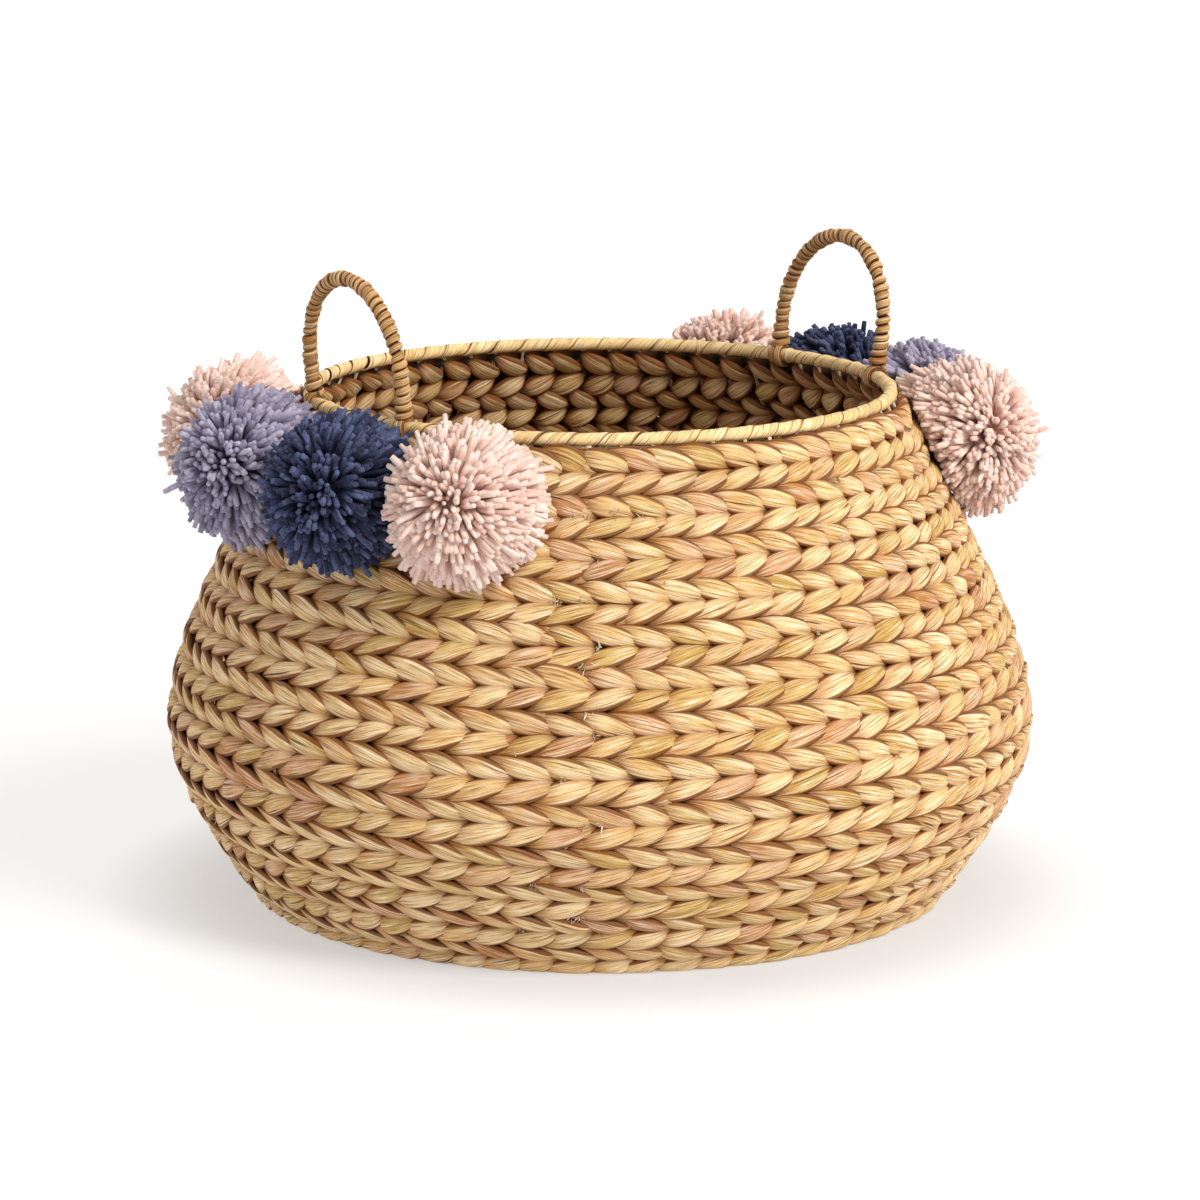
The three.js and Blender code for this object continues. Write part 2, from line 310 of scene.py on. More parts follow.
def eased_noise(rng, positions, low=-1.0, high=1.0):
    """Random numbers at whole positions, eased smoothly between them."""
    first = int(np.floor(positions.min())) - 1
    values = rng.uniform(low, high, int(np.ceil(positions.max())) - first + 3)
    base = np.floor(positions).astype(int)
    share = eased(positions - base)
    return values[base - first] * (1 - share) + values[base - first + 1] * share


def stepped_noise(rng, positions, blend=0.25):
    """Random numbers that hold over each whole interval and change quickly at its ends."""
    base = np.floor(positions)
    share = np.clip((positions - base - (1 - blend)) / blend, 0, 1)
    return eased_noise(rng, base + share)


# ---------------------------------------------------------------- material tools

class Nodes:
    """A short way to write a material's node tree."""

    def __init__(self, name):
        self.material = bpy.data.materials.new(name)
        self.material.use_nodes = True
        self.tree = self.material.node_tree
        self.shader = self.tree.nodes["Principled BSDF"]

    def add(self, kind, **settings):
        node = self.tree.nodes.new(kind)
        for key, value in settings.items():
            setattr(node, key, value)
        return node

    def link(self, source, target):
        self.tree.links.new(source, target)

    def attribute(self, name, output):
        return self.add("ShaderNodeAttribute", attribute_name=name).outputs[output]

    def scaled(self, vector, scale):
        node = self.add("ShaderNodeVectorMath", operation="MULTIPLY")
        self.link(vector, node.inputs[0])
        node.inputs[1].default_value = scale
        return node.outputs[0]

    def noise(self, vector, scale=1.0, detail=3.0, roughness=0.55):
        node = self.add("ShaderNodeTexNoise")
        self.link(vector, node.inputs["Vector"])
        node.inputs["Scale"].default_value = scale
        node.inputs["Detail"].default_value = detail
        node.inputs["Roughness"].default_value = roughness
        return node.outputs["Fac"]

    def remap(self, value, low, high, to_low=0.0, to_high=1.0):
        node = self.add("ShaderNodeMapRange")
        self.link(value, node.inputs["Value"])
        node.inputs["From Min"].default_value = low
        node.inputs["From Max"].default_value = high
        node.inputs["To Min"].default_value = to_low
        node.inputs["To Max"].default_value = to_high
        return node.outputs["Result"]

    def math(self, operation, first, second):
        node = self.add("ShaderNodeMath", operation=operation)
        for socket, value in zip(node.inputs, (first, second)):
            if isinstance(value, (int, float)):
                socket.default_value = value
            else:
                self.link(value, socket)
        return node.outputs[0]

    def ramp(self, value, stops):
        node = self.add("ShaderNodeValToRGB")
        self.link(value, node.inputs["Fac"])
        elements = node.color_ramp.elements
        while len(elements) < len(stops):
            elements.new(1.0)
        for element, (position, colour) in zip(elements, stops):
            element.position = position
            element.color = linear(colour)
        return node.outputs["Color"]

    def mix(self, factor, first, second, blend="MIX"):
        node = self.add("ShaderNodeMix", data_type="RGBA", blend_type=blend)
        sockets = (node.inputs[0], node.inputs[6], node.inputs[7])
        for socket, value in zip(sockets, (factor, first, second)):
            if isinstance(value, tuple):
                socket.default_value = linear(value)
            elif isinstance(value, (int, float)):
                socket.default_value = value
            else:
                self.link(value, socket)
        return node.outputs[2]

    def bump(self, height, strength, distance, under=None):
        node = self.add("ShaderNodeBump")
        self.link(height, node.inputs["Height"])
        node.inputs["Strength"].default_value = strength
        node.inputs["Distance"].default_value = distance
        if under is not None:
            self.link(under, node.inputs["Normal"])
        return node.outputs["Normal"]


def linear(colour):
    """A screen colour, 0 to 255, as the linear colour with alpha that nodes take."""
    channels = []
    for value in colour:
        share = value / 255
        channels.append(share / 12.92 if share <= 0.04045 else ((share + 0.055) / 1.055) ** 2.4)
    return (*channels, 1.0)


# ---------------------------------------------------------------- materials

def stalk_material(name, stops, root_colour, half_width, grain=1.0):
    """Dried flattened plant stalk: long fibres, shades that change by stalk, stains, fine cracks, painted
    shade and painted highlights.
    """
    n = Nodes(name)
    fibre = n.attribute("fibre", "Vector")
    tone = n.attribute("tone", "Fac")
    root = n.attribute("root", "Fac")
    lift = n.attribute("lift", "Fac")
    split = n.add("ShaderNodeSeparateXYZ")
    n.link(fibre, split.inputs[0])
    edge = n.math("ABSOLUTE", split.outputs[1], 0.0)
    fine = n.noise(n.scaled(fibre, (60, 1500, 7.1)), detail=5)
    broad = n.noise(n.scaled(fibre, (28, 330, 3.7)), detail=3)
    patch = n.noise(n.scaled(fibre, (38, 60, 2.3)), detail=2)
    blotch = n.noise(n.scaled(fibre, (75, 150, 5.3)), detail=6, roughness=0.7)
    crack = n.noise(n.scaled(fibre, (26, 800, 11.3)), detail=2)
    shade = n.math("ADD", tone, n.remap(broad, 0.3, 0.7, -0.09, 0.09))
    shade = n.math("ADD", shade, n.remap(patch, 0.3, 0.7, -0.10, 0.10))
    colour = n.ramp(shade, stops)
    # Golden brown towards the roots: partly the stalk's own colour, partly painted shade where it dives
    # into the weave.
    golden = n.math("ADD", root, n.remap(patch, 0.3, 0.7, -0.25, 0.25))
    colour = n.mix(n.remap(golden, 0.10, 0.95, 0.0, 0.85), colour, root_colour)
    colour = n.mix(n.remap(fine, 0.48, 0.37, 0.0, 0.66 * grain), colour, (126, 68, 8))
    # Pale fibre streaks: partly the stalk's grain, partly painted highlight.
    colour = n.mix(n.remap(fine, 0.53, 0.66, 0.0, 0.72 * grain), colour, (255, 244, 224))
    colour = n.mix(n.remap(crack, 0.36, 0.29, 0.0, 0.88 * grain), colour, (76, 34, 2))
    colour = n.mix(n.remap(blotch, 0.62, 0.74, 0.0, 0.62), colour, (158, 88, 36))
    # Painted shade: a dark brown line along each stalk's edges, where the leaves meet.
    colour = n.mix(n.remap(edge, 0.86 * half_width, half_width, 0.0, 0.90), colour, (112, 58, 2))
    # Painted shade deep in the weave, by lift: brown, then nearly black in the deepest gaps.
    colour = n.mix(n.remap(lift, 0.0054, 0.0024, 0.0, 0.62), colour, (136, 72, 4))
    colour = n.mix(n.remap(lift, 0.0026, 0.0006, 0.0, 0.94), colour, (30, 12, 1))
    n.link(colour, n.shader.inputs["Base Color"])
    n.link(n.remap(fine, 0.3, 0.7, 0.70, 0.52), n.shader.inputs["Roughness"])
    height = n.math("ADD", n.math("MULTIPLY", fine, 0.5), n.math("MULTIPLY", broad, 1.0))
    height = n.math("SUBTRACT", height, n.remap(crack, 0.32, 0.26, 0.0, 0.5))
    n.link(n.bump(height, 0.95, 0.0014), n.shader.inputs["Normal"])
    n.shader.inputs["Specular IOR Level"].default_value = 0.30
    return n.material


def yarn_material(name, dark, middle, light):
    """Soft wool yarn: twisted plies, shades that vary from yarn to yarn, fuzz that takes the light, and
    painted shade by depth.
    """
    n = Nodes(name)
    fibre = n.attribute("fibre", "Vector")
    tone = n.attribute("tone", "Fac")
    depth = n.attribute("depth", "Fac")
    ply = n.noise(n.scaled(fibre, (900, 700, 9.1)), detail=2)
    fuzz = n.noise(n.scaled(fibre, (3200, 2600, 4.7)), detail=2)
    shade = n.math("ADD", n.math("MULTIPLY", tone, 0.55), n.remap(ply, 0.3, 0.7, 0.0, 0.3))
    # Painted shade and light by depth: darker deep in the ball, lighter at the yarn tips.
    shade = n.math("ADD", shade, n.remap(depth, 0.4, 1.0, -0.25, 0.15))
    colour = n.ramp(shade, [(0.0, dark), (0.5, middle), (1.0, light)])
    n.link(colour, n.shader.inputs["Base Color"])
    height = n.math("ADD", ply, n.math("MULTIPLY", fuzz, 0.6))
    n.link(n.bump(height, 0.8, 0.0006), n.shader.inputs["Normal"])
    n.shader.inputs["Roughness"].default_value = 0.95
    n.shader.inputs["Specular IOR Level"].default_value = 0.15
    n.shader.inputs["Sheen Weight"].default_value = 0.45
    n.shader.inputs["Sheen Roughness"].default_value = 0.5
    n.shader.inputs["Sheen Tint"].default_value = linear(light)
    return n.material


def steel_material():
    n = Nodes("steel_wire")
    coordinates = n.add("ShaderNodeTexCoord").outputs["Object"]
    streaks = n.noise(n.scaled(coordinates, (900, 900, 900)), detail=4)
    shade = n.ramp(streaks, [(0.3, (120, 118, 114)), (0.7, (168, 166, 160))])
    n.link(shade, n.shader.inputs["Base Color"])
    n.link(n.remap(streaks, 0.3, 0.7, 0.3, 0.5), n.shader.inputs["Roughness"])
    n.shader.inputs["Metallic"].default_value = 1.0
    return n.material


STRAW_STOPS = [
    (0.00, (200, 164, 90)),
    (0.20, (214, 178, 108)),
    (0.42, (238, 206, 154)),
    (0.60, (224, 182, 116)),
    (0.80, (216, 172, 130)),
    (1.00, (184, 122, 62)),
]
STRIP_STOPS = [
    (0.00, (240, 202, 136)),
    (0.40, (253, 220, 158)),
    (0.75, (244, 202, 136)),
    (1.00, (206, 152, 88)),
]
CORD_STOPS = [
    (0.00, (172, 126, 66)),
    (0.45, (214, 170, 106)),
    (0.80, (238, 198, 138)),
    (1.00, (158, 104, 52)),
]
PALE_STOPS = [(0.0, (222, 200, 160)), (1.0, (238, 220, 186))]
STRAW = stalk_material("waled_stalk", STRAW_STOPS, (190, 128, 56), 0.0055)
STRIP = stalk_material("rim_strip", STRIP_STOPS, (192, 136, 62), 0.0068)
CORD = stalk_material("handle_cord", CORD_STOPS, (168, 114, 54), 0.0021)
STAKE = stalk_material("pale_cord", PALE_STOPS, (214, 184, 134), 0.0013)
PINK = yarn_material("yarn_pink", (208, 150, 134), (240, 208, 196), (254, 238, 230))
NAVY = yarn_material("yarn_navy", (14, 15, 25), (46, 50, 74), (106, 116, 156))
LAVENDER = yarn_material("yarn_lavender", (98, 88, 112), (150, 142, 168), (204, 200, 220))
YARNS = {"pink_left": PINK, "navy": NAVY, "lavender": LAVENDER, "pink_right": PINK}
STEEL = steel_material()


# ---------------------------------------------------------------- the wall and base

def count_of(prefix):
    return sum(1 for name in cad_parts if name.startswith(prefix))


def ring_section(node):
    """The middle (radius, height) of a ring node's section, and the unit direction of its long side."""
    points = np.array([v.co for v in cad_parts[node].data.vertices])
    section = np.stack([np.hypot(points[:, 0], points[:, 1]), points[:, 2]], axis=1)
    section = np.unique(section.round(4), axis=0)
    middle = section.mean(axis=0)
    values, directions = np.linalg.eigh(np.cov((section - middle).T))
    return middle, directions[:, np.argmax(values)]


def course_section(number):
    """The middle of a wall course's section, the direction up its face and the direction out of it."""
    middle, across = ring_section(f"course_{number:02d}")
    across = across * np.sign(across[1])
    return middle, across, np.array([across[1], -across[0]])


def stake_azimuths(count, rng):
    """Stakes all round, counted from the seam, a little unevenly spaced."""
    uneven = rng.uniform(-STAKE_UNEVENNESS, STAKE_UNEVENNESS, count)
    return SEAM_AZIMUTH + 2 * math.pi * (np.arange(count) + uneven) / count


def round_and_round(keys, values, period, places):
    """A smooth curve through periodic keys (Catmull-Rom), read at many places."""
    count = len(keys)
    places = (places - keys[0]) % period + keys[0]
    after = np.searchsorted(keys, places, side="right")
    extended = np.concatenate([keys[-2:] - period, keys, keys[:3] + period])
    heights = np.concatenate([values[-2:], values, values[:3]])
    one = after + 1
    span = extended[one + 1] - extended[one]
    share = (places - extended[one]) / span

    def slope(k):
        return (heights[k + 1] - heights[k - 1]) / (extended[k + 1] - extended[k - 1])

    start, end = heights[one], heights[one + 1]
    share2, share3 = share ** 2, share ** 3
    return (start * (2 * share3 - 3 * share2 + 1) + end * (3 * share2 - 2 * share3)
            + span * (slope(one) * (share3 - 2 * share2 + share) + slope(one + 1) * (share3 - share2)))


def azimuths_at(stakes, travel):
    """The azimuths of places counted in stakes, which may lie past the seam."""
    count = len(stakes)
    repeated = np.concatenate([stakes + 2 * math.pi * lap for lap in (-1, 0, 1, 2)])
    return np.interp(travel, np.arange(-count, 3 * count), repeated)


def tilted_frames(local, tilt, hand):
    """The directions over each stalk's width and out of its face, turned about the stalk by its tilt."""
    direction = unit(np.gradient(local, axis=1))
    side = unit(np.cross(UP, direction))
    top = np.cross(direction, side)
    side_tilted = np.cos(tilt) * side - hand * np.sin(tilt) * top
    return side_tilted, np.cross(direction, side_tilted)


def row_tones(leaf_number, rng):
    """Shades that change from stalk to stalk and from leaf to leaf."""
    stalk = np.stack([stepped_noise(rng, number / LEAVES_PER_STALK + rng.uniform(0, 9), 0.05)
                      for number in leaf_number])
    leaf = np.stack([stepped_noise(rng, number, 0.15) for number in leaf_number])
    return TONE_MIDDLE + STALK_TONE_RANGE * stalk + LEAF_TONE_RANGE * leaf


def waled_row(middle, across, outward, stakes, hand, rng, scale=1.0, waver=ROW_WAVER):
    """The section frames and sizes of one row of three stalks woven round the stakes.

    middle, across and outward are (radius, height) pairs: the row's middle line, the direction over its
    width and the direction out of its face. hand is 1 for leaves that rise anticlockwise, -1 for leaves
    that fall.
    """
    count = len(stakes)
    steps = count * STEPS_PER_STAKE + 1
    first = rng.integers(-2, 3)
    travel = first + np.linspace(-SEAM_OVERLAP / 2, count + SEAM_OVERLAP / 2, steps)
    passed = travel[None] - 0.5 - np.arange(STALKS_PER_ROW)[:, None]
    leaf_number = (passed + 1) / STALKS_PER_ROW

    def per_leaf(amount, per=1.0):
        return np.stack([eased_noise(rng, number * per + rng.uniform(0, 1))
                         for number in leaf_number]) * amount

    def keyed(values):
        return round_and_round(STALK_KEYS, values, STALKS_PER_ROW, passed)

    from_end = np.minimum(travel - travel[0], travel[-1] - travel)
    tuck = eased(np.clip(1 - from_end, 0, 1))
    over = hand * keyed(STALK_OVER) * scale + per_leaf(LEAF_OVER_WAVER, 2)
    over = over + waver * eased_noise(rng, travel / 3.5)
    out = keyed(STALK_OUT) * (1 + per_leaf(LEAF_OUT_SHARE)) - SEAM_TUCK * tuck
    width = keyed(STALK_HALF_WIDTH) * scale * (1 + per_leaf(LEAF_WIDTH_SHARE)) * (1 - 0.35 * tuck)
    thickness = keyed(STALK_HALF_THICKNESS) * (1 + per_leaf(LEAF_THICKNESS_SHARE))
    tilt = (keyed(STALK_TILT) * (1 + per_leaf(LEAF_TILT_SHARE)) + per_leaf(LEAF_TILT_WAVER))[..., None]
    turn = azimuths_at(stakes, travel)[None] + per_leaf(LEAF_SHIFT, 2) / middle[0]
    side, top = tilted_frames(np.stack([middle[0] * turn, over, out], axis=-1), tilt, hand)
    radial, tangent = directions_at(turn)
    axes = (tangent, across[0] * radial + across[1] * UP, outward[0] * radial + outward[1] * UP)

    def placed(vectors):
        return sum(vectors[..., k:k + 1] * axis for k, axis in enumerate(axes))

    radius = middle[0] + over * across[0] + out * outward[0]
    height = middle[1] + over * across[1] + out * outward[1]
    return {
        "centres": radius[..., None] * radial + height[..., None] * UP,
        "widths": placed(side),
        "normals": placed(top),
        "half_width": width,
        "half_thickness": thickness,
        "tone": row_tones(leaf_number, rng),
        "root": np.clip(keyed(STALK_GOLD), 0, 1),
        "surface": np.broadcast_to(np.concatenate([middle, outward]), (STALKS_PER_ROW, 4)),
    }


def resting(height):
    """Heights with what would lie below the floor pressed flat on it."""
    pressed = REST_HEIGHT * np.exp((height - REST_HEIGHT) / REST_HEIGHT)
    return np.where(height < REST_HEIGHT, pressed, height)


def waled_rows(name, rows, first_number):
    """One piece out of several rows with the same number of stakes.

    Its lift is the distance from the wall's middle surface, which the material uses to paint shade on what
    lies deep in the weave.
    """
    joined = {key: np.concatenate([row[key] for row in rows]) for key in rows[0]}
    floats = {key: joined.pop(key)[..., None] for key in ("tone", "root")}
    surface = joined.pop("surface")[:, None, None]
    grid, fibre = tube_grid(sides=STALK_SIDES, flatness=0.8, first_number=first_number, **joined)
    spread = {key: np.broadcast_to(values, grid.shape[:3]) for key, values in floats.items()}
    radius = np.hypot(grid[..., 0], grid[..., 1]) - surface[..., 0]
    height = grid[..., 2] - surface[..., 1]
    spread["lift"] = np.abs(radius * surface[..., 2] + height * surface[..., 3])
    grid[..., 2] = resting(grid[..., 2])
    return skin(name, grid, fibre, spread, STRAW)


def wall_courses():
    count = count_of("course_")
    for number in range(1, count + 1):
        rng = np.random.default_rng(100 + number)
        middle, across, outward = course_section(number)
        last = number == count
        share = (middle[0] - RIM_RADIUS) / (BELLY_RADIUS - RIM_RADIUS)
        stakes = stake_azimuths(round(STAKES_AT_RIM + share * (STAKES_AT_BELLY - STAKES_AT_RIM)), rng)
        if last:
            middle = middle + TOP_COURSE_LIFT * across
        scale = TOP_COURSE_SCALE if last else 1.0
        rows = []
        for hand in (1, -1):
            centre = middle - hand * ROW_PITCH / 2 * scale * across
            waver = TOP_ROW_WAVER if last and hand == -1 else ROW_WAVER
            rows.append(waled_row(centre, across, outward, stakes, hand, rng, scale, waver))
        piece = waled_rows(f"waled_course_{number:02d}", rows, 10 * number)
        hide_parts(f"course_{number:02d}")
        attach(piece, "basket")


def fray_roots(rng):
    """Where each torn fibre starts, the way it aims and the way it bends."""
    starts, aims, bends = [], [], []
    for number in range(2, count_of("course_") + 1):
        middle, across, outward = course_section(number)
        at_seam = SEAM_AZIMUTH + rng.normal(0, FRAY_SPREAD, FRAYS_AT_SEAM)
        anywhere = rng.uniform(0, 2 * math.pi, FRAYS_ELSEWHERE)
        for turn in np.concatenate([at_seam, anywhere]):
            edge = rng.choice([-1, 0, 1]) * ROW_PITCH + rng.normal(0, 0.0008)
            base = middle + edge * across + FRAY_LIFT * outward
            radial, tangent = directions_at(turn)
            out = outward[0] * radial + outward[1] * UP
            along_face = across[0] * radial + across[1] * UP
            for _ in range(FIBRES_PER_FRAY):
                starts.append(base[0] * radial + base[1] * UP + rng.normal(0, 0.0005) * tangent)
                aims.append(0.75 * out + rng.normal(0.1, 0.5) * tangent + rng.normal(0, 0.7) * along_face)
                bends.append(rng.normal(0, 1, 3))
    return np.array(starts), unit(np.array(aims)), unit(np.array(bends))


def frayed_ends():
    """Short torn fibres where stalks were joined: some close together at the seam, the others anywhere."""
    rng = np.random.default_rng(450)
    starts, aims, bends = fray_roots(rng)
    share = np.linspace(0, 1, 5)[None, :, None]
    length = rng.uniform(FRAY_SHORTEST, FRAY_LONGEST, (len(starts), 1, 1))
    bend = bends[:, None] * share ** 2 * length * 0.35
    centres = starts[:, None] + aims[:, None] * share * length + bend
    direction = unit(np.gradient(centres, axis=1))
    side = unit(np.cross(direction, bends[:, None]))
    size = np.array([1.0, 1.0, 0.9, 0.7, 0.35]) * rng.uniform(0.6, 1.2, (len(starts), 1))
    tone = np.broadcast_to(rng.uniform(0, 1, (len(starts), 1)), size.shape)
    piece = swept_tubes("frayed_ends", centres, side, np.cross(direction, side), size * FRAY_HALF_WIDTH,
                        size * FRAY_HALF_THICKNESS, 6, STAKE, stalk_floats(tone))
    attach(piece, "basket")


def base_rings():
    for number in range(1, count_of("base_ring_") + 1):
        node = f"base_ring_{number}"
        rng = np.random.default_rng(200 + number)
        middle, _ = ring_section(node)
        stakes = stake_azimuths(max(6, round(2 * math.pi * middle[0] / BASE_LEAF_LENGTH)), rng)
        rows = []
        for hand in (1, -1):
            centre = middle - hand * ROW_PITCH / 2 * BASE_ACROSS
            rows.append(waled_row(centre, BASE_ACROSS, BASE_OUTWARD, stakes, hand, rng))
        piece = waled_rows(f"waled_base_{number}", rows, 500 + 10 * number)
        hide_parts(node)
        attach(piece, "basket")


def base_middle():
    rng = np.random.default_rng(300)
    height = ring_section("base_ring_1")[0][1]
    rows = []
    for radius, count, hand in ((BASE_START_OUTER, 6, 1), (BASE_START_INNER, 4, -1)):
        stakes = stake_azimuths(count, rng)
        rows.append(waled_row(np.array([radius, height]), BASE_ACROSS, BASE_OUTWARD, stakes, hand, rng))
    piece = waled_rows("base_start_outer", rows[:1], 700)
    core = waled_rows("base_start_inner", rows[1:], 710)
    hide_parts("base_centre")
    for part in (piece, core):
        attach(part, "basket")


def wall_profile():
    """The middle line of base and wall, (radius, height) from the middle of the base up to the rim."""
    height = ring_section("base_ring_1")[0][1]
    points = [(radius, height) for radius in BASE_FLAT_RADII]
    points.append((BASE_EDGE_RADIUS, height + BASE_EDGE_RISE))
    for number in range(1, count_of("course_") + 1):
        points.append(tuple(course_section(number)[0]))
    points.append((RIM_RADIUS + 0.0012, RIM_HEIGHT - 0.002))
    return np.array(points)


WALL_PROFILE = wall_profile()
RISING_PROFILE = WALL_PROFILE[len(BASE_FLAT_RADII) + 1:]


def upright_stakes():
    """The thin pale cords that the rows are woven round, from the base up to the rim."""
    stakes = stake_azimuths(STAKES_AT_RIM, np.random.default_rng(50))
    travel = travelled(WALL_PROFILE)
    even = np.linspace(0, travel[-1], STAKE_STEPS)
    radius = np.interp(even, travel, WALL_PROFILE[:, 0])
    height = np.interp(even, travel, WALL_PROFILE[:, 1])
    rng = np.random.default_rng(400)
    turn = stakes[:, None] + rng.normal(0, 0.0015, (len(stakes), STAKE_STEPS))
    radial, side = directions_at(turn)
    centres = radius[:, None] * radial + height[:, None] * UP
    direction = unit(np.gradient(centres, axis=1))
    size = np.full(turn.shape, STAKE_RADIUS)
    tone = np.broadcast_to(rng.uniform(0.2, 0.9, (len(stakes), 1)), turn.shape)
    piece = swept_tubes("stakes", centres, side, unit(np.cross(direction, side)), size * 1.4, size, 8,
                        STAKE, stalk_floats(tone))
    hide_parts(*[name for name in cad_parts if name.startswith("rim_lashing_")])
    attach(piece, "basket")


# ---------------------------------------------------------------- the rim

def rim_strip():
    """The strip wound round the rim: each turn's edge lies over the next one's."""
    steps = RIM_TURNS * STRIP_STEPS_PER_TURN
    turn = np.arange(steps) / STRIP_STEPS_PER_TURN
    rng = np.random.default_rng(500)
    drift = eased_noise(rng, turn / 1.5, -0.22, 0.22) * np.sin(math.pi * np.arange(steps) / steps)
    share = np.linspace(-STRIP_HALF_SPAN, STRIP_HALF_SPAN, 9)
    edge = np.clip((STRIP_HALF_SPAN - np.abs(share)) / STRIP_EDGE_SPAN, 0, 1)
    ripple = np.stack([eased_noise(rng, turn * 3 + k) for k in range(len(share))], axis=1) * STRIP_RIPPLE
    ripple[-RIPPLE_FADE_STEPS:] *= np.linspace(1, 0, RIPPLE_FADE_STEPS)[:, None]
    overlap = RIM_STRIP_STEP * (share + STRIP_HALF_SPAN)
    outer = RIM_CORE_RADIUS + overlap + STRIP_CROWN * (0.4 + 0.6 * edge) + ripple
    inner = outer - STRIP_THICKNESS * (0.3 + 0.7 * edge)
    loop_share = np.concatenate([share, share[::-1]])
    loop_radius = np.concatenate([outer, inner[:, ::-1]], axis=1)
    azimuth = 2 * math.pi * (turn[:, None] + drift[:, None] + loop_share[None]) / RIM_TURNS
    round_angle = np.broadcast_to(2 * math.pi * turn[:, None], azimuth.shape)
    reach = RIM_RADIUS + loop_radius * np.cos(round_angle)
    height = RIM_HEIGHT + loop_radius * np.sin(round_angle)
    grid = np.stack([reach * np.cos(azimuth), reach * np.sin(azimuth), height], axis=-1)[None]
    along = np.broadcast_to((turn * STRIP_TURN_LENGTH)[:, None], azimuth.shape)
    sideways = np.broadcast_to(loop_share * STRIP_WIDTH, azimuth.shape)
    fibre = np.stack([along, sideways, np.zeros(azimuth.shape)], axis=-1)
    shade = 0.5 + 0.3 * stepped_noise(rng, turn / 5) + 0.15 * stepped_noise(rng, turn)
    floats = {
        "tone": np.broadcast_to(shade[:, None], azimuth.shape)[None],
        "root": np.broadcast_to(np.clip((np.abs(loop_share) - 0.42) / 0.16, 0, 1), azimuth.shape)[None],
        "lift": np.ones((1, *azimuth.shape)),
    }
    piece = skin("rim_winding", grid, fibre[None], floats, STRIP, closed=True)
    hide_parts("rim_wrap")
    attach(piece, "basket")


# ---------------------------------------------------------------- handles

def handle_arch(mirror, sway):
    """The handle's middle line as evenly spaced points, from one foot over the top to the other."""
    foot = RIM_RADIUS * math.sin(HANDLE_FOOT_ANGLE)
    legs = np.linspace(HANDLE_START, HANDLE_SHOULDER, 12)
    sweep = np.linspace(0, math.pi, 60)[1:-1]
    spread = foot + (HANDLE_HALF_WIDTH - foot) * np.sin(legs / HANDLE_SHOULDER * math.pi / 2)
    across = np.concatenate([spread, HANDLE_HALF_WIDTH * np.cos(sweep), -spread[::-1]])
    top = HANDLE_SHOULDER + (HANDLE_HEIGHT - HANDLE_SHOULDER) * np.sin(sweep)
    rise = np.concatenate([legs, top, legs[::-1]])
    across = across + sway * (rise / HANDLE_HEIGHT) ** 1.5
    hinge = RIM_RADIUS * math.cos(HANDLE_FOOT_ANGLE)
    outward = mirror * (hinge + rise * math.sin(HANDLE_LEAN))
    points = np.stack([outward, across, RIM_HEIGHT + rise * math.cos(HANDLE_LEAN)], axis=-1)
    travel = travelled(points)
    even = np.linspace(0, travel[-1], 400)
    return np.stack([np.interp(even, travel, points[:, k]) for k in range(3)], axis=-1), travel[-1]


def wound_cord(name, path, length, plane_normal, rng, radius, pitch, flare=0.0):
    """Flat cord wound round a path, each turn beside the last, uneven and sometimes flared at the ends."""
    turns = length / pitch
    steps = int(turns * CORD_STEPS_PER_TURN)
    share = np.linspace(0, 1, steps)
    knots = np.linspace(0, 1, len(path))
    place = np.stack([np.interp(share, knots, path[:, k]) for k in range(3)], axis=-1)
    forward = unit(np.gradient(place, axis=0))
    first = unit(np.cross(forward, plane_normal))
    second = np.cross(forward, first)
    angle = 2 * math.pi * share * turns
    uneven = eased_noise(rng, share * turns)
    from_end = np.minimum(share, 1 - share) * length
    swell = 1 + 0.16 * eased_noise(rng, share * turns / 1.1)
    swell = swell + flare * np.exp(-from_end / FOOT_FLARE_LENGTH)
    outward = np.cos(angle)[:, None] * first + np.sin(angle)[:, None] * second
    slip = (uneven * CORD_UNEVENNESS)[:, None] * forward
    centres = place + (radius * swell)[:, None] * outward + slip
    direction = unit(np.gradient(centres, axis=0))
    tilt = (0.16 + 0.12 * uneven)[:, None]
    level = unit(np.cross(outward, direction))
    side = np.cos(tilt) * level + np.sin(tilt) * outward
    top = np.cos(tilt) * outward - np.sin(tilt) * level
    width = CORD_HALF_WIDTH * (1 + 0.16 * eased_noise(rng, share * turns + 40))
    thickness = CORD_HALF_THICKNESS * (1 + 0.22 * eased_noise(rng, share * turns + 80))
    tone = (0.5 + 0.25 * stepped_noise(rng, share * turns / 6) + 0.2 * uneven)[None]
    return swept_tubes(name, centres[None], side[None], top[None], width[None], thickness[None], 10, CORD,
                       stalk_floats(tone, root=0.5), flatness=0.85,
                       first_number=int(rng.integers(1000, 2000)))


def handle(letter, mirror):
    rng = np.random.default_rng(600 + (mirror > 0))
    path, length = handle_arch(mirror, HANDLE_SWAY[letter])
    lean = np.array([mirror * math.cos(HANDLE_LEAN), 0, -math.sin(HANDLE_LEAN)])
    cord = wound_cord(f"handle_{letter}_winding", path, length, lean, rng, CORD_HELIX_RADIUS, CORD_PITCH,
                      FOOT_FLARE)
    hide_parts(f"handle_{letter}_cord_wrap")
    forward = unit(np.gradient(path, axis=0))
    side = unit(np.cross(forward, lean))
    size = np.full((1, len(path)), HANDLE_CORE_RADIUS)
    # Its lift of 0 paints the core with the darkest shade of the weave: painted shade between the cord's
    # turns.
    core = swept_tubes(f"handle_{letter}_core", path[None], side[None], np.cross(forward, side)[None],
                       size, size, 8, CORD, stalk_floats(np.full(size.shape, 0.5), root=1.0, lift=0.0))
    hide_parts(f"handle_{letter}_wire")
    pieces = [cord, core]
    for end, sign in (("left", 1), ("right", -1)):
        pieces.append(foot_wrap(letter, end, mirror, sign, rng))
    for piece in pieces:
        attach(piece, f"handle_{letter}")


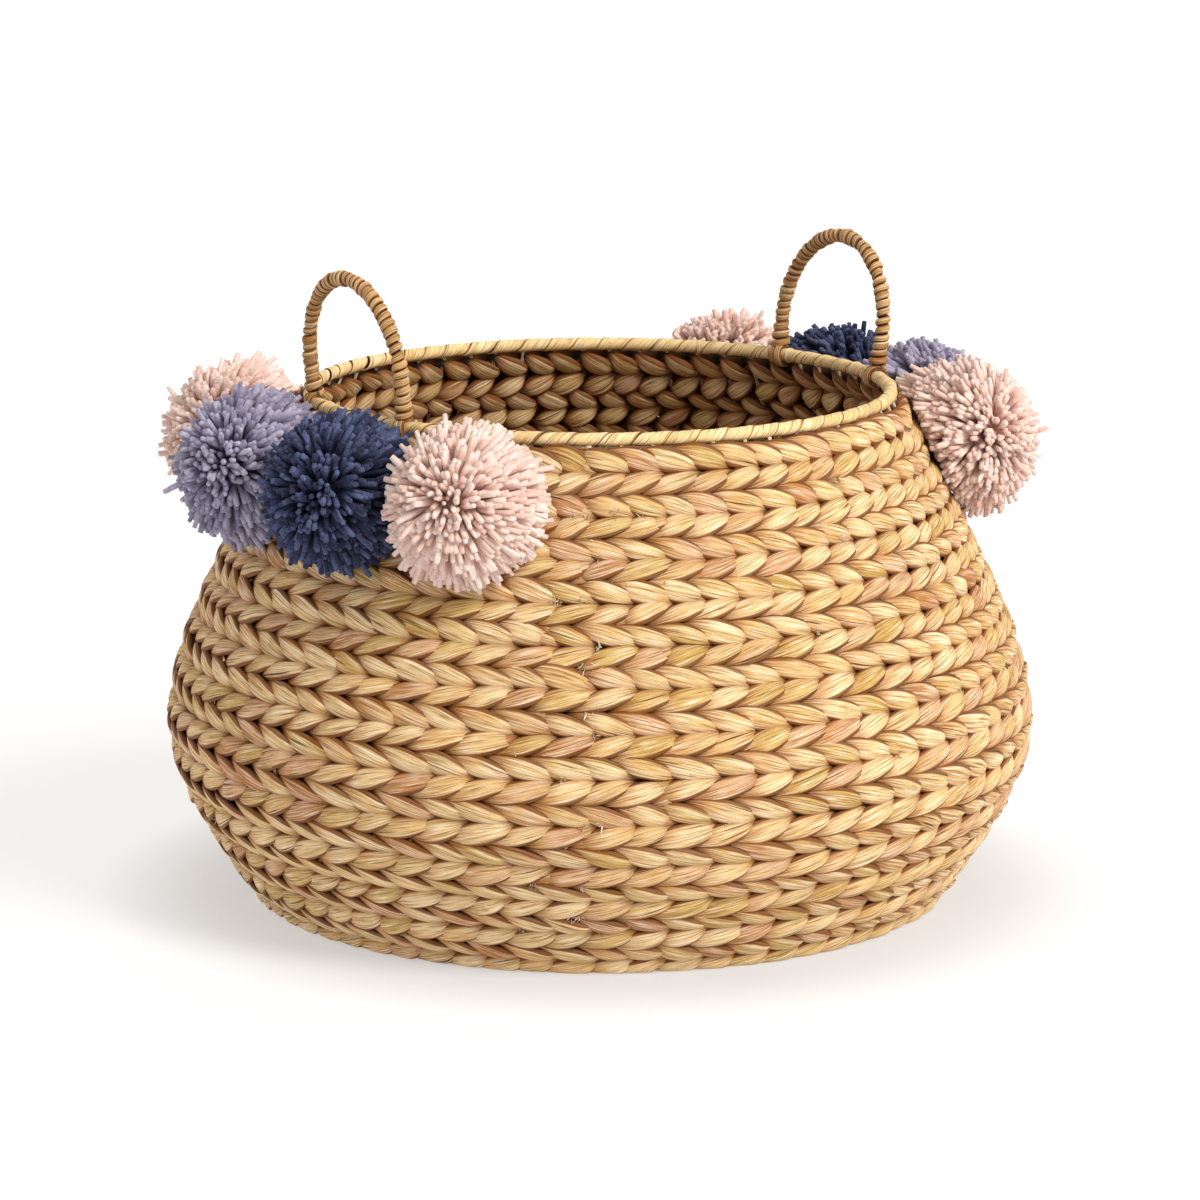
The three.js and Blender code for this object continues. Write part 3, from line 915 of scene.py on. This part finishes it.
def foot_wrap(letter, end, mirror, sign, rng):
    """The turns of cord that hold a foot of the handle on the rim."""
    azimuth = sign * HANDLE_FOOT_ANGLE if mirror > 0 else math.pi - sign * HANDLE_FOOT_ANGLE
    span = np.linspace(-0.5, 0.5, 60) * FOOT_LENGTH / RIM_RADIUS + azimuth
    path = RIM_RADIUS * directions_at(span)[0] + RIM_HEIGHT * UP
    piece = wound_cord(f"handle_{letter}_foot_{end}", path, FOOT_LENGTH, UP, rng, FOOT_HELIX_RADIUS,
                       FOOT_LENGTH / FOOT_TURNS)
    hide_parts(f"handle_{letter}_foot_binding_{end}")
    return piece


# ---------------------------------------------------------------- pompoms

def ball_centre(side, name):
    low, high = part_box(f"pompom_{side}_{name}_ball")
    return np.array((low + high) / 2)


def outer_wall_radius(height):
    return np.interp(height, RISING_PROFILE[:, 1], RISING_PROFILE[:, 0]) + WALL_HALF_THICKNESS


def yarn_paths(centre, aim, lean, reach):
    """Points along each yarn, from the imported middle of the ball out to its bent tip."""
    share = np.linspace(0, 1, YARN_STEPS)
    start = np.minimum(POMPOM_CORE_RADIUS, reach) * 0.75
    span = (reach - start)[:, None, None]
    straight = aim[:, None] * (start[:, None, None] + span * share[:, None])
    return centre + straight + lean[:, None] * span * share[:, None] ** 1.5


def blocked(points, centre, neighbours):
    """Whether points lie in the wall, or past the plane midway to a neighbouring ball."""
    inside = np.hypot(points[..., 0], points[..., 1]) < outer_wall_radius(points[..., 2]) + WALL_GAP
    inside &= points[..., 2] < WALL_TOP
    for other in neighbours:
        gap = other - centre
        inside |= (points - centre) @ gap > gap @ gap * NEIGHBOUR_SHARE
    return inside


def kept_clear(centre, aim, lean, reach, neighbours):
    """Reaches shortened until no part of a yarn is blocked."""
    for _ in range(50):
        inside = blocked(yarn_paths(centre, aim, lean, reach), centre, neighbours).any(axis=1)
        reach = np.where(inside, reach * 0.95, reach)
    return reach


def sphere_directions(polar, around):
    return np.stack([
        np.sin(polar) * np.cos(around), np.sin(polar) * np.sin(around), np.cos(polar) + 0 * around,
    ], axis=-1)


def yarn_aims(count, rng):
    """Directions spread evenly over a sphere, each a little off."""
    index = np.arange(count) + 0.5
    polar = np.arccos(1 - 2 * index / count)
    around = math.pi * (1 + math.sqrt(5)) * index
    aim = sphere_directions(polar, around)
    return unit(aim + rng.normal(0, 0.05, aim.shape))


def yarn_leans(aim, centre, rng):
    """How each yarn bends aside: with its clump, a little at random, and away from the parting."""
    waves = rng.normal(0, 1, (12, 3))
    clump = np.sin(7 * aim @ waves.T + np.arange(12)) @ rng.normal(0, 1, (12, 3))
    away = centre * np.array([1, 1, 0]) / RIM_RADIUS
    parting = unit(away + rng.normal(0, 0.25, 3) + PARTING_RISE * UP)
    lean = 0.050 * clump + rng.normal(0, 0.15, aim.shape) - PARTING_LEAN * parting
    return lean - (lean * aim).sum(axis=1, keepdims=True) * aim


def yarn_reaches(aim, rng):
    """How far each yarn stands out: trimmed by hand, with some ends left long and some cut short."""
    count = len(aim)
    lumps = np.sin(4 * aim @ rng.normal(0, 1, (9, 3)).T).mean(axis=1)
    reach = POMPOM_RADIUS * (1.02 + rng.normal(0, 0.035, count) + 0.06 * lumps)
    reach += YARN_OFFCUT * (rng.random(count) < LONG_YARN_SHARE)
    reach -= YARN_OFFCUT * (rng.random(count) < SHORT_YARN_SHARE)
    return reach


def pompom(side, name, neighbours, rng):
    """A ball of separate yarn ends, pressed against the wall and its neighbours."""
    centre = ball_centre(side, name)
    count = YARNS_PER_POMPOM
    aim = yarn_aims(count, rng)
    lean = yarn_leans(aim, centre, rng)
    reach = kept_clear(centre, aim, lean, yarn_reaches(aim, rng), neighbours)
    centres = yarn_paths(centre, aim, lean, reach)
    direction = unit(np.gradient(centres, axis=1))
    helper = np.where(np.abs(aim[:, 2:3]) < 0.8, UP, [1.0, 0, 0])
    sides = unit(np.cross(direction, helper[:, None]))
    tops = np.cross(direction, sides)
    swell = np.array([0.75, 0.85, 0.95, 1.02, 1.06, 0.9])
    size = YARN_RADIUS * swell * (1 + rng.normal(0, 0.10, (count, 1)))
    tone = np.broadcast_to(rng.uniform(0.1, 1.0, (count, 1)), size.shape)
    # Depth drives the painted shade deep in the ball and the painted light at the tips.
    depth = np.linalg.norm(centres - centre, axis=-1) / POMPOM_RADIUS
    piece = swept_tubes(f"pompom_{side}_{name}_yarn", centres, sides, tops, size, size, 6, YARNS[name],
                        {"tone": tone, "depth": depth})
    core = pompom_core(side, name, centre, neighbours)
    tie = pompom_tie(side, name, centre)
    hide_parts(f"pompom_{side}_{name}_ball")
    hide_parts(f"pompom_{side}_{name}_tie")
    for part in (piece, core, tie):
        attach(part, f"pompom_{side}_{name}")


def pompom_core(side, name, centre, neighbours):
    """The dense middle of the ball, where the yarns are packed too tightly to see apart."""
    rings, sides = 26, 40
    polar = np.linspace(0.04, math.pi - 0.04, rings)[:, None]
    around = -2 * math.pi * np.arange(sides)[None] / sides
    aim = sphere_directions(polar, around).reshape(-1, 3)
    first_wave = np.sin(23 * aim @ np.array([1.0, 0.7, 0.4]))
    second_wave = np.sin(19 * aim @ np.array([-0.5, 1.0, 0.8]))
    reach = kept_clear(centre, aim, 0 * aim, np.full(len(aim), POMPOM_RADIUS * 0.98), neighbours)
    reach = np.maximum(reach - POMPOM_CORE_DEPTH, POMPOM_CORE_LEAST)
    reach = reach * (1 + 0.03 * first_wave * second_wave)
    grid = (centre + aim * reach[:, None]).reshape(1, rings, sides, 3)
    # The core's fixed depth and low tone paint it darker: painted shade deep in the ball.
    floats = {"tone": np.full(grid.shape[:3], 0.25), "depth": np.full(grid.shape[:3], 0.65)}
    return skin(f"pompom_{side}_{name}_core", grid, grid - centre, floats, YARNS[name])


def pompom_tie(side, name, centre):
    """Two thin threads from the middle of the ball up to the rim, and round it."""
    radial, tangent = directions_at(math.atan2(centre[1], centre[0]))
    rim = RIM_RADIUS * radial + RIM_HEIGHT * UP
    loop = RIM_CORE_RADIUS + TIE_CLEARANCE + TIE_RADIUS
    turn = np.linspace(-0.25 * math.pi, 1.75 * math.pi, 24)[:, None]
    ring = rim + loop * (np.cos(turn) * radial + np.sin(turn) * UP)
    tail = np.linspace(0, 1, 8)[:, None]
    up = centre * (1 - tail) + ring[-1] * tail
    down = ring[0] * (1 - tail) + centre * tail
    line = np.concatenate([up, ring[::-1][1:], down[1:]])
    centres = np.array([line + offset * TIE_RADIUS * tangent for offset in (-1, 1)])
    direction = unit(np.gradient(centres, axis=1))
    sides = np.broadcast_to(tangent, direction.shape)
    size = np.full(centres.shape[:2], TIE_RADIUS)
    return swept_tubes(f"pompom_{side}_{name}_thread", centres, sides, unit(np.cross(direction, sides)),
                       size, size, 8, STRIP, stalk_floats(np.full(size.shape, 0.5)))


def pompoms():
    for side in ("a", "b"):
        centres = [ball_centre(side, name) for name in YARNS]
        for place, name in enumerate(YARNS):
            near = [centres[k] for k in (place - 1, place + 1) if 0 <= k < len(centres)]
            pompom(side, name, near, np.random.default_rng(700 + 10 * place + (side == "b")))


# ---------------------------------------------------------------- camera, floor and light

def camera_and_stage():
    camera = bpy.data.objects.new("camera", bpy.data.cameras.new("camera"))
    bpy.context.scene.collection.objects.link(camera)
    camera.location = (
        CAMERA_DISTANCE * math.sin(CAMERA_AZIMUTH),
        -CAMERA_DISTANCE * math.cos(CAMERA_AZIMUTH),
        CAMERA_HEIGHT,
    )
    camera.rotation_euler = (math.pi / 2 - CAMERA_PITCH, 0, CAMERA_AZIMUTH)
    camera.data.lens = CAMERA_LENS
    bpy.context.scene.camera = camera

    n = Nodes("floor_white")
    coordinates = n.add("ShaderNodeTexCoord").outputs["Object"]
    mottle = n.noise(n.scaled(coordinates, (3, 3, 3)))
    shade = n.ramp(mottle, [(0.3, (147, 146, 146)), (0.7, (151, 150, 150))])
    n.link(shade, n.shader.inputs["Base Color"])
    n.shader.inputs["Roughness"].default_value = 0.9
    n.shader.inputs["Emission Color"].default_value = (1, 0.99, 0.985, 1)
    # The floor glows evenly, and ambient occlusion dims the glow near the basket: a painted contact shadow.
    openness = n.add("ShaderNodeAmbientOcclusion", samples=8)
    openness.inputs["Distance"].default_value = CONTACT_DISTANCE
    glow = n.remap(openness.outputs["AO"], 0.45, 1.0, CONTACT_GLOW, FLOOR_GLOW)
    n.link(glow, n.shader.inputs["Emission Strength"])
    bpy.ops.mesh.primitive_plane_add(size=30)
    floor = bpy.context.object
    floor.name = "floor"
    floor.data.materials.append(n.material)


def sun(name, azimuth, elevation, softness, strength, colour):
    """A distant lamp, its azimuth counted anticlockwise from the camera's."""
    light = bpy.data.lights.new(name, "SUN")
    light.angle = math.radians(softness)
    light.energy = strength
    light.color = colour
    lamp = bpy.data.objects.new(name, light)
    bpy.context.scene.collection.objects.link(lamp)
    turn = CAMERA_AZIMUTH + math.radians(azimuth)
    rise = math.radians(elevation)
    source = Vector((math.sin(turn) * math.cos(rise), -math.cos(turn) * math.cos(rise), math.sin(rise)))
    lamp.rotation_euler = (-source).to_track_quat("-Z", "Y").to_euler()


def lights():
    scene = bpy.context.scene
    scene.view_settings.view_transform = "Standard"
    world = bpy.data.worlds.new("studio")
    scene.world = world
    world.use_nodes = True
    background = world.node_tree.nodes["Background"]
    background.inputs["Color"].default_value = (1, 0.965, 0.92, 1)
    background.inputs["Strength"].default_value = WORLD_STRENGTH
    sun("key", 50, 38, 24, KEY_STRENGTH, (1.0, 0.97, 0.92))


camera_and_stage()
lights()
wall_courses()
frayed_ends()
base_rings()
base_middle()
upright_stakes()
rim_strip()
handle("a", 1)
handle("b", -1)
pompoms()

for node_name, node_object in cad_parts.items():
    if not node_object.hide_render:
        node_object.data.materials.clear()
        node_object.data.materials.append(STEEL)
